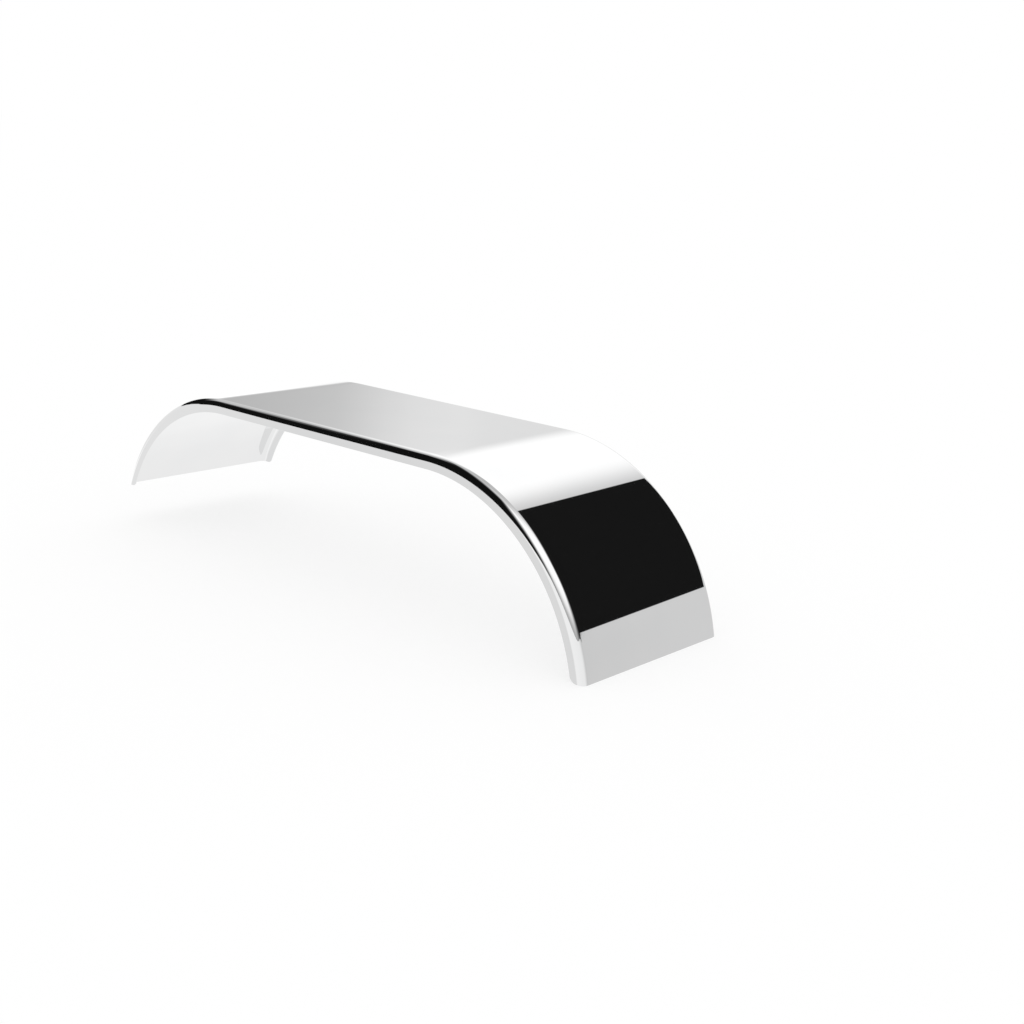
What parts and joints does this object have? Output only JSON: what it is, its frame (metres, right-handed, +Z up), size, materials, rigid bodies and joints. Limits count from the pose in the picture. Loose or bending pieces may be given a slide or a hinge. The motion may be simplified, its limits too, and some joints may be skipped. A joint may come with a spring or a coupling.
{
  "type": "full fender",
  "caption": "Long folded sheet-metal wheel fender: flat deck, a rolled sweep down at each end, and a rounded bend with a flange along both sides.",
  "frame": {"origin": "middle of the flat deck's underside, where the support tubes bear", "axes": "+X along the deck towards the end that reaches lower, +Y across the width, +Z up out of the deck"},
  "size_m": [2.2331, 0.622, 0.533],
  "materials": {
    "polished_steel": "mirror-polished stainless sheet"
  },
  "bodies": {
    "root": {"fender": "polished_steel"}
  },
  "joints": []
}
